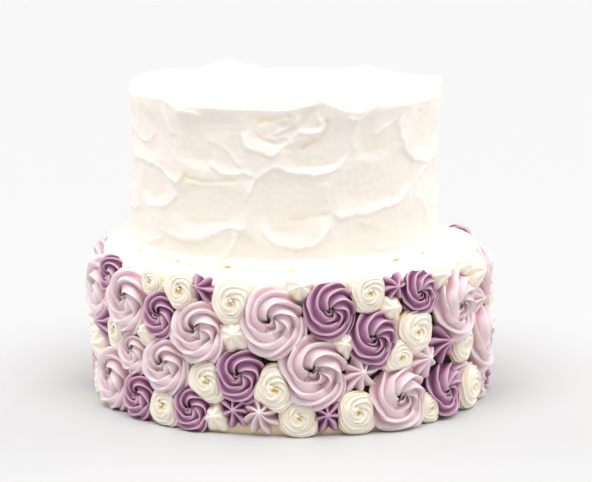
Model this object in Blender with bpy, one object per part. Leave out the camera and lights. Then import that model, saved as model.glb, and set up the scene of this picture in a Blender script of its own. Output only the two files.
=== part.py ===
"""A two-tier buttercream cake: a smooth-topped lower tier whose side is covered with piped
rosettes and stars in lilac, plum and cream, and an upper tier iced with a palette knife.

Metres, +Z up. The origin is the middle of the cake's foot, and the front faces -Y. Degrees
run round the cake from the front, growing towards +X.
"""

import math
from collections import namedtuple

import bmesh
import bpy
from mathutils import Vector

MM = 0.001

# Driving dimensions: an 8 inch tier and a 6 inch tier, each with its icing
LOWER_RADIUS = 0.104
LOWER_HEIGHT = 0.084
UPPER_RADIUS = 0.0845
UPPER_HEIGHT = 0.0845
UPPER_SHIFT = -0.0035  # the upper tier stands a little to the left
SEAT_GAP = 0.0003  # between the two tiers

# Piping
PIPING_GAP = 0.0005  # between neighbouring pieces
BACK_GAP = 0.0006  # behind a separate rosette, where its curved back meets the icing
ROOT_DEPTH = 0.0015  # how far a fused piece reaches into the icing
SEPARATE_WIDTH = 21  # mm; a rosette this wide or wider is a piece of its own
PIPING_FOOT = 0.0008
PIPING_TOP = LOWER_HEIGHT + 0.001
FLAT_RADIUS = LOWER_RADIUS + 0.004  # where distances round the tier are measured
SEPARATE_RIDGES = 6
FUSED_RIDGES = 5
SMALL_WIDTH = 15  # mm; a smaller piece has no rings between its tip and its rim
SWIRL = math.radians(-115)  # turn of a ridge from the eye to the rim, clockwise seen from outside

# Each ring of a piped piece: its share of the outline, and then, as shares of the piece's height,
# how high it lies and how far its ridges stand out. Last, how far in its grooves are drawn.
Ring = namedtuple("Ring", "share rise ridge pinch")
ROSETTE_RINGS = [Ring(0.28, 0.88, 0.09, 1), Ring(0.64, 0.90, 0.10, 1), Ring(1, 0.46, 0.10, 0.93)]
ROSETTE_EYE = 0.68  # height of the dimple in the middle, as a share
STAR_RINGS = [Ring(0.48, 0.58, 0.07, 0.75), Ring(1, 0.18, 0.03, 0.70)]
ROOT_SHARE = 0.94  # of the outline, where a piece meets the icing
RISE = {"rosette": (0.25, 0.0015), "star": (0.30, 0.003)}  # share of the width, and the least

# Icing of the upper tier
COLUMNS = 72
SIDE_ROWS = 13
SCOOP_DEPTH = 0.0022
LIP_HEIGHT = 0.0026
LIP_WIDTH = 0.16  # as a share of a scoop's half size
SCOOP_ROUNDNESS = 2.6
EDGE_ROUNDING = 0.003
EDGE_FLARE = 0.002
TOP_RINGS = [(0.975, 0.0), (0.9, 0.0012), (0.75, 0.0022), (0.45, 0.0026)]  # share of radius, drop
TOP_MIDDLE_DROP = 0.0024

# Icing of the lower tier
LOWER_COLUMNS = 60
LOWER_EDGE = [(0.0, 0.0035), (0.001, 0.0012), (0.0035, 0.0)]  # inset and drop round the top edge
LEDGE_SWELL = 0.0007
LEDGE_WAVES = 5
SEAT_MARGIN = 0.006  # level icing round the upper tier's foot

FINISHES = {
    "cream": ((0.93, 0.87, 0.74), 0.50),
    "lilac": ((0.66, 0.46, 0.55), 0.45),
    "plum": ((0.29, 0.13, 0.24), 0.45),
}

Piece = namedtuple("Piece", "finish form degrees height width")

# The piping of the front half: finish, form, degrees, height of its middle and width in mm.
# The back half repeats it after a half turn.
HALF_PLAN = [
    Piece("lilac", "rosette", -78.5, 60, 36),
    Piece("lilac", "rosette", -54.5, 63.5, 34),
    Piece("lilac", "rosette", -27, 54, 33),
    Piece("lilac", "rosette", -5.5, 61.5, 34.5),
    Piece("lilac", "rosette", 6.5, 35, 38),
    Piece("lilac", "rosette", 32, 17.5, 36),
    Piece("lilac", "rosette", 56, 60.5, 38),
    Piece("lilac", "rosette", 74.5, 36.5, 38),
    Piece("lilac", "rosette", -38.5, 33, 30),
    Piece("lilac", "rosette", -64.5, 17, 33),
    Piece("lilac", "rosette", -52, 36, 23),
    Piece("plum", "rosette", -65.5, 73, 24),
    Piece("plum", "rosette", -40, 59.5, 25),
    Piece("plum", "rosette", 11.2, 67, 28.5),
    Piece("plum", "rosette", 23.5, 51, 30),
    Piece("plum", "rosette", 39.5, 72, 24),
    Piece("plum", "rosette", -14.5, 32.5, 28),
    Piece("plum", "rosette", -29, 12, 24),
    Piece("plum", "rosette", 50, 16, 28),
    Piece("plum", "rosette", -49, 13, 24),
    Piece("lilac", "rosette", 82, 68.5, 28),
    Piece("plum", "rosette", 89.5, 12.5, 25),
    Piece("cream", "rosette", -16.5, 71, 22),
    Piece("cream", "rosette", 37.5, 52, 23),
    Piece("cream", "rosette", -24, 28, 21),
    Piece("cream", "rosette", -4.5, 26, 24),
    Piece("cream", "rosette", 18.5, 12.7, 22),
    Piece("cream", "rosette", 64, 13, 24),
    Piece("cream", "rosette", 87.5, 53, 27),
    Piece("cream", "rosette", -32.5, 74.5, 20),
    Piece("cream", "rosette", 22, 75.5, 20),
    Piece("cream", "rosette", 31.5, 39.5, 19),
    Piece("cream", "rosette", 2, 10.5, 20),
    Piece("cream", "rosette", -38.5, 10.5, 20),
    Piece("cream", "rosette", 59, 38, 20),
    Piece("cream", "rosette", 43.2, 8.5, 16),
    Piece("cream", "rosette", -61.5, 44, 18),
    Piece("cream", "rosette", -43.5, 76.5, 13),
    Piece("cream", "rosette", -79, 11.5, 20),
    Piece("lilac", "rosette", 77, 11, 20.5),
    Piece("plum", "star", -26, 76, 14),
    Piece("plum", "star", 30.5, 76, 14),
    Piece("plum", "star", -15.8, 13, 18),
    Piece("plum", "star", 10.6, 11, 18),
    Piece("plum", "star", 49.5, 40.5, 19),
    Piece("plum", "star", -70.5, 44, 20),
    Piece("lilac", "star", -8.6, 11.2, 21),
    Piece("lilac", "star", 19.5, 31.5, 21),
    Piece("lilac", "star", 41, 34, 19),
    Piece("cream", "star", -16, 53, 17),
    Piece("cream", "star", -22, 7.5, 14),
    Piece("cream", "star", 15.2, 48.4, 13),
    Piece("cream", "star", 29.5, 64.5, 13),
    Piece("cream", "star", -46, 47.5, 15),
    Piece("cream", "star", 49, 78, 13),
    Piece("cream", "star", 2.5, 79, 12),
    Piece("cream", "star", -79, 27.5, 20),
    Piece("cream", "star", 89, 32.5, 22),
    Piece("cream", "star", 69.5, 73, 19),
    Piece("lilac", "star", 59, 25, 14),
    Piece("lilac", "star", 71, 56.5, 18),
    Piece("cream", "star", 61.8, 78.6, 12),
    Piece("lilac", "star", -66.5, 56.5, 12),
    Piece("cream", "star", -82, 42.5, 15),
]

# The uneven top edge of the upper tier, highest at the back: degrees, and mm above the tier's foot
RIM_MARKS = [
    (-180, 85.5), (-172, 85), (-165, 88), (-157, 91), (-150, 89.5), (-143, 87), (-131, 88.5), (-118, 89),
    (-102, 88.5), (-90, 86.5), (-80, 84), (-62, 86), (-50, 87), (-42, 83.5), (-32, 85), (0, 85), (8, 87),
    (13, 89), (17, 86.5), (21, 84), (27, 82.5), (32, 85), (45, 84), (76, 84.5), (88, 89), (98, 90),
    (112, 87.5), (128, 86.5), (138, 87), (146, 89), (153, 87), (161, 85.5), (173, 86), (180, 85.5),
]

Scoop = namedtuple("Scoop", "degrees height half_width half_height tilt")

# The knife's scoops on the front of the upper tier, in the order they were made: degrees, height
# above the tier's foot, half width and half height in mm, and tilt in degrees. A half turn
# repeats them on the back.
HALF_SCOOPS = [
    Scoop(-40, 7, 28, 8, 0),
    Scoop(-72, 14, 20, 12, 0),
    Scoop(-16, 10, 10, 10, 20),
    Scoop(42, 13, 38, 13, 4),
    Scoop(80, 28, 17, 20, 0),
    Scoop(-84, 42, 16, 16, 0),
    Scoop(-29, 31, 25, 15, 6),
    Scoop(-56, 40, 17, 14, -8),
    Scoop(2, 32, 21, 21, 0),
    Scoop(39, 45, 36, 15, 13),
    Scoop(-63, 67, 24, 16, -10),
    Scoop(-27, 66, 25, 18, -6),
    Scoop(-5, 73, 17, 10, -22),
    Scoop(12, 60, 21, 10, 8),
    Scoop(36, 68, 17, 15, 0),
    Scoop(65, 66, 21, 14, 0),
    Scoop(92, 65, 20, 15, 6),
    Scoop(9.5, 78, 8, 7, 0),
]


def smooth_step(low, high, value):
    share = min(1.0, max(0.0, (value - low) / (high - low)))
    return share * share * (3 - 2 * share)


def turned(degrees):
    """The angle brought to between -180 and 180 degrees, in radians."""
    return math.radians((degrees + 180) % 360 - 180)


def half_turned(plan):
    """A half plan, and the same again on the other side of the cake."""
    behind = [item._replace(degrees=item.degrees + 180) for item in plan]
    return plan + behind


def on_cylinder(angle, radius, height):
    return Vector((radius * math.sin(angle), -radius * math.cos(angle), height))


def buttercream(finish):
    colour, roughness = FINISHES[finish]
    material = bpy.data.materials.new("buttercream_" + finish)
    material.use_nodes = True
    shader = material.node_tree.nodes["Principled BSDF"]
    shader.inputs["Base Color"].default_value = (*colour, 1)
    shader.inputs["Roughness"].default_value = roughness
    shader.inputs["Metallic"].default_value = 0
    return material


def ring_solid(name, rings, first_tip, last_tip, material):
    """A closed solid skinned over a stack of rings, with each end closed by a fan."""
    mesh = bmesh.new()
    loops = [[mesh.verts.new(point) for point in ring] for ring in rings]
    steps = [(i, (i + 1) % len(rings[0])) for i in range(len(rings[0]))]
    for near, far in zip(loops, loops[1:]):
        for i, j in steps:
            mesh.faces.new((near[i], near[j], far[j], far[i]))
    for loop, tip in ((loops[0], first_tip), (loops[-1], last_tip)):
        middle = mesh.verts.new(tip)
        for i, j in steps:
            mesh.faces.new((loop[i], loop[j], middle))
    bmesh.ops.recalc_face_normals(mesh, faces=mesh.faces)
    data = bpy.data.meshes.new(name)
    mesh.to_mesh(data)
    mesh.free()
    data.materials.append(material)
    data.shade_smooth()
    data.set_sharp_from_angle(angle=math.radians(50))
    return bpy.data.objects.new(name, data)


def shown(obj, parent):
    bpy.context.scene.collection.objects.link(obj)
    obj.parent = parent
    return obj


def cell_reach(piece, plan, direction):
    """How far a piece spreads in a direction of the tier's unrolled side, before it meets the
    wall halfway to a neighbour, the foot or the top edge."""
    across, up = math.cos(direction), math.sin(direction)
    radius = piece.width / 2 * MM
    reach = radius
    for other in plan:
        if other is piece:
            continue
        aside = FLAT_RADIUS * turned(other.degrees - piece.degrees)
        above = (other.height - piece.height) * MM
        distance = math.hypot(aside, above)
        other_radius = other.width / 2 * MM
        facing = (across * aside + up * above) / distance
        if distance < radius + other_radius + PIPING_GAP and facing > 0:
            wall = (distance**2 + radius**2 - other_radius**2) / (2 * distance)
            reach = min(reach, (wall - PIPING_GAP / 2) / facing)
    if up < 0:
        reach = min(reach, (piece.height * MM - PIPING_FOOT) / -up)
    if up > 0:
        reach = min(reach, (PIPING_TOP - piece.height * MM) / up)
    return reach


def is_separate(piece):
    return piece.form == "rosette" and piece.width >= SEPARATE_WIDTH


def piece_height(piece):
    """How far a piece stands out from the icing."""
    slope, least = RISE[piece.form]
    return slope * piece.width * MM + least


def piped_ring(piece, plan, shape, height, swirl):
    """One ring of a piped piece, in its own frame: a ridge, then a groove, all the way round."""
    ridges = SEPARATE_RIDGES if is_separate(piece) else FUSED_RIDGES
    ring = []
    for i in range(2 * ridges):
        crest = i % 2 == 0
        direction = math.pi * i / ridges + swirl
        reach = cell_reach(piece, plan, direction) * shape.share * (1 if crest else shape.pinch)
        angle = reach * math.cos(direction) / FLAT_RADIUS
        outward = LOWER_RADIUS + height * (shape.rise + (shape.ridge if crest else -shape.ridge))
        point = on_cylinder(angle, outward, reach * math.sin(direction))
        ring.append(point + Vector((0, LOWER_RADIUS, 0)))
    return ring


def piped_rings(piece, plan, root):
    """The rings of a rosette, whose ridges swirl, or of a star, whose ridges are straight."""
    shapes = ROSETTE_RINGS if piece.form == "rosette" else STAR_RINGS
    if piece.form == "rosette" and not is_separate(piece):
        shapes = shapes[1:]
    if piece.width < SMALL_WIDTH:
        shapes = shapes[-1:]
    swirl = SWIRL if piece.form == "rosette" else 0
    height = piece_height(piece)
    rings = [piped_ring(piece, plan, shape, height, swirl * shape.share) for shape in shapes]
    heel = Ring(ROOT_SHARE, root / height, 0, shapes[-1].pinch)
    return rings + [piped_ring(piece, plan, heel, height, swirl)]


def piped_object(name, piece, plan, root, material):
    """A rosette or star whose origin lies on the icing, behind the middle of the piece."""
    eye = ROSETTE_EYE if piece.form == "rosette" else 1
    tip = Vector((0, -eye * piece_height(piece), 0))
    obj = ring_solid(name, piped_rings(piece, plan, root), tip, Vector((0, -root, 0)), material)
    angle = math.radians(piece.degrees)
    obj.location = on_cylinder(angle, LOWER_RADIUS, piece.height * MM)
    obj.rotation_euler[2] = angle
    return obj


def icing_relief(degrees, height):
    """How far the upper tier's icing stands out at a place on its side, in metres."""
    level = 0.0
    for scoop in half_turned(HALF_SCOOPS):
        across = UPPER_RADIUS / MM * turned(degrees - scoop.degrees)
        up = height / MM - scoop.height
        tilt = math.radians(scoop.tilt)
        a = (across * math.cos(tilt) + up * math.sin(tilt)) / scoop.half_width
        b = (up * math.cos(tilt) - across * math.sin(tilt)) / scoop.half_height
        rim = (abs(a) ** SCOOP_ROUNDNESS + abs(b) ** SCOOP_ROUNDNESS) ** (1 / SCOOP_ROUNDNESS)
        if rim > 1 + 4 * LIP_WIDTH:
            continue
        pressed = 1 - smooth_step(0.8, 1.0, rim)
        bowl = -SCOOP_DEPTH * (1 - 0.45 * a * a - 0.25 * b)
        level += (bowl - level) * pressed
        lower_lip = 0.3 + 0.7 * max(0.0, -b / max(rim, 0.1))
        level += LIP_HEIGHT * lower_lip * math.exp(-(((rim - 1) / LIP_WIDTH) ** 2))
    return max(-SCOOP_DEPTH, min(LIP_HEIGHT, level))


def rim_height(degrees):
    """The height of the upper tier's top edge at a place round the tier."""
    degrees = (degrees + 180) % 360 - 180
    for (left, low), (right, high) in zip(RIM_MARKS, RIM_MARKS[1:]):
        if degrees <= right:
            return (low + (high - low) * smooth_step(left, right, degrees)) * MM


def upper_tier(material):
    around = [360 * i / COLUMNS for i in range(COLUMNS)]
    rings = []
    for row in range(SIDE_ROWS + 1):
        share = row / SIDE_ROWS
        ring = []
        for degrees in around:
            height = share * (rim_height(degrees) - EDGE_ROUNDING)
            radius = UPPER_RADIUS + icing_relief(degrees, height) + EDGE_FLARE * share**4
            ring.append(on_cylinder(math.radians(degrees), radius, height))
        rings.append(ring)
    for share, drop in TOP_RINGS:
        ring = []
        for degrees in around:
            spread = smooth_step(0.6, 1.0, share)
            top = UPPER_HEIGHT + (rim_height(degrees) - UPPER_HEIGHT) * spread - drop
            ring.append(on_cylinder(math.radians(degrees), UPPER_RADIUS * share, top))
        rings.append(ring)
    middle = Vector((0, 0, UPPER_HEIGHT - TOP_MIDDLE_DROP))
    obj = ring_solid("upper_tier", rings, Vector((0, 0, 0)), middle, material)
    obj.location = (UPPER_SHIFT, 0, LOWER_HEIGHT + SEAT_GAP)
    return obj


def lower_icing(material):
    """The lower tier before its piping: a straight side, a rounded edge and a gently uneven ledge."""
    around = [2 * math.pi * i / LOWER_COLUMNS for i in range(LOWER_COLUMNS)]
    seat = UPPER_RADIUS + SEAT_MARGIN
    profile = [(LOWER_RADIUS, 0, 0)]
    profile += [(LOWER_RADIUS - inset, LOWER_HEIGHT - drop, 0) for inset, drop in LOWER_EDGE]
    profile += [((LOWER_RADIUS + seat) / 2, LOWER_HEIGHT, LEDGE_SWELL), (seat, LOWER_HEIGHT, 0)]
    rings = [
        [on_cylinder(a, radius, height + swell * math.sin(LEDGE_WAVES * a + 1)) for a in around]
        for radius, height, swell in profile
    ]
    top = Vector((0, 0, LOWER_HEIGHT))
    return ring_solid("lower_tier", rings, Vector((0, 0, 0)), top, material)


def fuse(obj, pieces):
    """Joins the pieces to the object by one Boolean union on their collection."""
    collection = bpy.data.collections.new("fused_piping")
    bpy.context.scene.collection.children.link(collection)
    for piece in pieces:
        collection.objects.link(piece)
    union = obj.modifiers.new("piping", "BOOLEAN")
    union.operation = "UNION"
    union.operand_type = "COLLECTION"
    union.collection = collection
    union.solver = "EXACT"
    bpy.context.view_layer.update()
    evaluated = obj.evaluated_get(bpy.context.evaluated_depsgraph_get())
    joined = bpy.data.meshes.new_from_object(evaluated)
    obj.modifiers.clear()
    obj.data = joined
    for piece in pieces:
        bpy.data.objects.remove(piece)
    bpy.data.collections.remove(collection)


def main():
    for obj in list(bpy.data.objects):
        bpy.data.objects.remove(obj)
    materials = {finish: buttercream(finish) for finish in FINISHES}
    foot = shown(bpy.data.objects.new("cake_foot", None), None)
    shown(upper_tier(materials["cream"]), foot)
    lower = shown(lower_icing(materials["cream"]), foot)

    plan = half_turned(HALF_PLAN)
    made = dict.fromkeys(FINISHES, 0)
    fused = []
    for piece in plan:
        material = materials[piece.finish]
        if is_separate(piece):
            made[piece.finish] += 1
            name = f"{piece.finish}_rosette_{made[piece.finish]:02d}"
            shown(piped_object(name, piece, plan, BACK_GAP, material), foot)
        else:
            fused.append(piped_object("fused", piece, plan, -ROOT_DEPTH, material))
    fuse(lower, fused)


main()
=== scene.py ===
"""A two-tier buttercream cake in a pale studio.

The lower tier is covered with piped rosettes and stars in lilac, plum and cream, and the upper
tier is iced with a palette knife. Metres, +Z up, and the front faces -Y. Degrees run round the
cake from the front, growing towards +X.
"""

import math
import random
from collections import namedtuple

import bpy
import numpy as np
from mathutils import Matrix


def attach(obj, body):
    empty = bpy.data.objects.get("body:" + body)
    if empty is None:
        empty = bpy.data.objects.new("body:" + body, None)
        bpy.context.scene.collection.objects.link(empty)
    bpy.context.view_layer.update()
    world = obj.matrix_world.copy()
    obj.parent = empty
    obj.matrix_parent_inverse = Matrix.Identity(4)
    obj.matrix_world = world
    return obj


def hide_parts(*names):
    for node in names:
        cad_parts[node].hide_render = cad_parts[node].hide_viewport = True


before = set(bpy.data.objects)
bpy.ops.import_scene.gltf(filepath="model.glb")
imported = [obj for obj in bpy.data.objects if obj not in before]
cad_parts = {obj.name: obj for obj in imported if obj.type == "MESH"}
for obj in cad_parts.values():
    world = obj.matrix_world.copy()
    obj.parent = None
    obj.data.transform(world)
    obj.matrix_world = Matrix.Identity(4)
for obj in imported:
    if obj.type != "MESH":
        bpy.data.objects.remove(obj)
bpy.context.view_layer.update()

MM = 0.001

# Sizes of the tiers, as the solids have them
LOWER_RADIUS = 0.104
LOWER_HEIGHT = 0.084
UPPER_RADIUS = 0.0845
UPPER_HEIGHT = 0.0845
UPPER_SHIFT = -0.0035  # the upper tier stands a little to the left
UPPER_FOOT = LOWER_HEIGHT + 0.0003
FLAT_RADIUS = LOWER_RADIUS + 0.004  # where distances round the tier are measured

# Icing of the lower tier
LOWER_COLUMNS = 360
LOWER_ROUNDING = 0.0045  # of its top edge
LEDGE_OUTER = LOWER_RADIUS - 0.0058
LEDGE_INNER = 0.080
LEVEL_EDGE = (0.0895, 0.093)  # the ledge is level inside, where the upper tier stands
WALL_SHADE_TOP = (0.066, 0.079)  # painted shade: the side between the pieces is painted dark below, fading out above
# heights over which the deepest painted shade between the pieces fades in above the foot
WALL_SHADE_FOOT = (0.005, 0.013)

# Icing of the upper tier
UPPER_COLUMNS = 620
UPPER_ROWS = 132
RIM_ROUNDING = 0.0012  # how far below the rim the side ends
RIM_FLARE = 0.0019  # how far the rim leans out
FOOT_HEIGHT = 0.0055  # of the soft foot
FOOT_SWELL = 0.0024
FOOT_DEPTH = 0.0010  # how far the soft foot reaches into the ledge
SPREAD_PLACE = 6  # degrees; where the foot spreads further over the ledge
SPREAD_WIDTH = 13  # degrees
SPREAD_REACH = 0.0062
GAP_DEPTH = 0.0010
SCOOP_DEPTH = 0.0013
SCOOP_ROUNDNESS = 2.6
EDGE_SHARE = 0.85  # of its lip that an edge stands out
EDGE_REACH = 48  # degrees to either side of an edge's middle that it can change
RELIEF_LIMITS = (-0.0030, 0.0032)
# Rings of the top: share of the rim's radius, and how far each lies above the side's end
TOP_RINGS = [
    (0.997, 0.0007), (0.990, 0.0011), (0.981, 0.0012), (0.968, 0.0009), (0.945, 0.0003), (0.91, -0.0003),
    (0.86, -0.0008), (0.79, -0.001), (0.70, -0.001), (0.58, -0.001), (0.44, -0.001), (0.28, -0.001),
    (0.12, -0.001),
]
TOP_MIDDLE_DROP = 0.0026

SWELLS = 12  # waves that make up any unevenness

# Camera, in pixels of the picture, metres and degrees down
PICTURE_WIDTH = 592
FOCAL_PIXELS = 2395
SENSOR_MM = 36
CAMERA_PLACE = (0.00275, -1.309, 0.336)
CAMERA_PITCH = 10.93

# How the piping lies
PIPING_TOP = LOWER_HEIGHT
PIPING_FOOT = 0.0004  # the lowest that a piped point lies
SEPARATE_WIDTH = 21  # mm; a rosette this wide or wider is a piece of its own
PRESS_OVERLAP = 0.0012  # how far pressed neighbours run into each other
STAR_TUCK = 0.0010  # how much further a star reaches, under its neighbours

Piece = namedtuple("Piece", "finish form degrees height width")

HALF_PLAN = [
    Piece("lilac", "rosette", -78.5, 60, 36),
    Piece("lilac", "rosette", -54.5, 63.5, 34),
    Piece("lilac", "rosette", -27, 54, 33),
    Piece("lilac", "rosette", -5.5, 61.5, 34.5),
    Piece("lilac", "rosette", 6.5, 35, 38),
    Piece("lilac", "rosette", 32, 17.5, 36),
    Piece("lilac", "rosette", 56, 60.5, 38),
    Piece("lilac", "rosette", 74.5, 36.5, 38),
    Piece("lilac", "rosette", -38.5, 33, 30),
    Piece("lilac", "rosette", -64.5, 17, 33),
    Piece("lilac", "rosette", -52, 36, 23),
    Piece("plum", "rosette", -65.5, 73, 24),
    Piece("plum", "rosette", -40, 59.5, 25),
    Piece("plum", "rosette", 11.2, 67, 28.5),
    Piece("plum", "rosette", 23.5, 51, 30),
    Piece("plum", "rosette", 39.5, 72, 24),
    Piece("plum", "rosette", -14.5, 32.5, 28),
    Piece("plum", "rosette", -29, 12, 24),
    Piece("plum", "rosette", 50, 16, 28),
    Piece("plum", "rosette", -49, 13, 24),
    Piece("lilac", "rosette", 82, 68.5, 28),
    Piece("plum", "rosette", 89.5, 12.5, 25),
    Piece("cream", "rosette", -16.5, 71, 22),
    Piece("cream", "rosette", 37.5, 52, 23),
    Piece("cream", "rosette", -24, 28, 21),
    Piece("cream", "rosette", -4.5, 26, 24),
    Piece("cream", "rosette", 18.5, 12.7, 22),
    Piece("cream", "rosette", 64, 13, 24),
    Piece("cream", "rosette", 87.5, 53, 27),
    Piece("cream", "rosette", -32.5, 74.5, 20),
    Piece("cream", "rosette", 22, 75.5, 20),
    Piece("cream", "rosette", 31.5, 39.5, 19),
    Piece("cream", "rosette", 2, 10.5, 20),
    Piece("cream", "rosette", -38.5, 10.5, 20),
    Piece("cream", "rosette", 59, 38, 20),
    Piece("cream", "rosette", 43.2, 8.5, 16),
    Piece("cream", "rosette", -61.5, 44, 18),
    Piece("cream", "rosette", -43.5, 76.5, 13),
    Piece("cream", "rosette", -79, 11.5, 20),
    Piece("lilac", "rosette", 77, 11, 20.5),
    Piece("plum", "star", -26, 76, 14),
    Piece("plum", "star", 30.5, 76, 14),
    Piece("plum", "star", -15.8, 13, 18),
    Piece("plum", "star", 10.6, 11, 18),
    Piece("plum", "star", 49.5, 40.5, 19),
    Piece("plum", "star", -70.5, 44, 20),
    Piece("lilac", "star", -8.6, 11.2, 21),
    Piece("lilac", "star", 19.5, 31.5, 21),
    Piece("lilac", "star", 41, 34, 19),
    Piece("cream", "star", -16, 53, 17),
    Piece("cream", "star", -22, 7.5, 14),
    Piece("cream", "star", 15.2, 48.4, 13),
    Piece("cream", "star", 29.5, 64.5, 13),
    Piece("cream", "star", -46, 47.5, 15),
    Piece("cream", "star", 49, 78, 13),
    Piece("cream", "star", 2.5, 79, 12),
    Piece("cream", "star", -79, 27.5, 20),
    Piece("cream", "star", 89, 32.5, 22),
    Piece("cream", "star", 69.5, 73, 19),
    Piece("lilac", "star", 59, 25, 14),
    Piece("lilac", "star", 71, 56.5, 18),
    Piece("cream", "star", 61.8, 78.6, 12),
    Piece("lilac", "star", -66.5, 56.5, 12),
    Piece("cream", "star", -82, 42.5, 15),
]

# How a finish gives way: how squarely its neighbours press it, how far a rosette spreads against
# its width in the plan, and the share of its radius that keeps its shape
Softness = namedtuple("Softness", "squareness spread firm")
STIFF = Softness(15, 1.11, 0.15)
SOFTNESS = {"lilac": STIFF, "plum": STIFF, "cream": Softness(10, 1.16, 0.35)}
STAR_SPREAD = 1.36

# The rope that a piping tip lays down: ridges on the tip, depth of its grooves, height of the
# rope against its width, how wide the eye is, where the path starts and how far round it goes in
# degrees, over how many of them it winds out from the eye, and how much the tip turns with it.
# Then, as shares of the radius, half the rope's width at the eye, and how far it is sunk there
Tip = namedtuple("Tip", "ridges groove lift eye start turn unwind follow core sunk")
TIPS = {
    "lilac": Tip(7, 0.50, 0.92, 0.05, -85, 448, 120, 0.0, 0.22, 0.13),
    "plum": Tip(7, 0.48, 0.92, 0.03, -150, 512, 200, 0.0, 0.22, 0.13),
    "cream": Tip(12, 0.24, 0.80, 0.00, -230, 592, 290, 0.55, 0.34, -0.05),
}
# The rope's way, as shares of the radius: how far out it starts, how much further it winds, and
# how much further its tail ends. Then half its width
PATH_START = 0.07
PATH_ROUND = 0.42
PATH_TAIL = 0.36
ROPE_HALF_WIDTH = 0.50
TAIL_NARROWING = 0.72  # share of its width that the tail loses
TAIL_FALL = 0.80  # share of its height that the tail loses
# Where points lie between one ridge and the next, as shares, and where the groove is deepest
RIDGE_SPOTS = [0, 0.08, 0.19, 0.37, 0.59, 0.78, 0.90]
GROOVE_PLACE = 0.78
RISE = {"rosette": (0.25, 0.0015), "star": (0.30, 0.003)}  # share of the width, and the least

# Where a rosette's eye is tinted with painted shade, from fully to not at all, as shares of the radius
DARK_EYE_SHADE = (0.04, 0.24)
CREAM_EYE_SHADE = (0.03, 0.17)
# The dab in a cream eye: columns, its rings and their widest as shares, and the heights of its
# foot, of its edge and of its middle above that, as shares of the rosette's height
DAB_COLUMNS = 16
DAB_RINGS = [1, 0.75, 0.5, 0.25]
DAB_WIDTH = 0.17
DAB_FOOT = 0.5
DAB_EDGE = 0.64
DAB_RISE = 0.22

# A star's rings, as shares of its radius
STAR_RINGS = [0, 0.04, 0.09, 0.16, 0.25, 0.36, 0.49, 0.63, 0.77, 0.89, 0.97, 1.0, 0.97]
PETAL_COLUMNS = 10
LEAST_PETALS = 6
PETAL_WIDTHS = (16, 20)  # mm; a star has one petal more for each that it is wider than
# A star's petals: how far each ring has fallen from the peak, as a share of its height, how narrow
# the clefts are and how much they widen outwards, and how far they are drawn in and sunk
Petals = namedtuple("Petals", "fall narrowness widening notch sink")
CRISP = Petals(
    [0, 0.03, 0.08, 0.15, 0.24, 0.33, 0.42, 0.51, 0.60, 0.70, 0.82, 0.97, 1.2], 2.6, 1.3, 0.30, 0.34
)
SOFTENED = Petals(
    [0, 0.02, 0.05, 0.10, 0.16, 0.23, 0.31, 0.41, 0.54, 0.68, 0.82, 0.98, 1.2], 2.2, 0.0, 0.10, 0.12
)
PETALS = {"lilac": CRISP, "plum": CRISP, "cream": SOFTENED}

Scoop = namedtuple("Scoop", "degrees height half_width half_height tilt")
HALF_SCOOPS = [
    Scoop(-40, 7, 28, 8, 0),
    Scoop(-72, 14, 20, 12, 0),
    Scoop(-16, 10, 10, 10, 20),
    Scoop(42, 13, 38, 13, 4),
    Scoop(80, 28, 17, 20, 0),
    Scoop(-84, 42, 16, 16, 0),
    Scoop(-29, 31, 25, 15, 6),
    Scoop(-56, 40, 17, 14, -8),
    Scoop(2, 32, 21, 21, 0),
    Scoop(39, 45, 36, 15, 13),
    Scoop(-63, 67, 24, 16, -10),
    Scoop(-27, 66, 25, 18, -6),
    Scoop(-5, 73, 17, 10, -22),
    Scoop(12, 60, 21, 10, 8),
    Scoop(36, 68, 17, 15, 0),
    Scoop(65, 66, 21, 14, 0),
    Scoop(92, 65, 20, 15, 6),
    Scoop(9.5, 78, 8, 7, 0),
]

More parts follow.
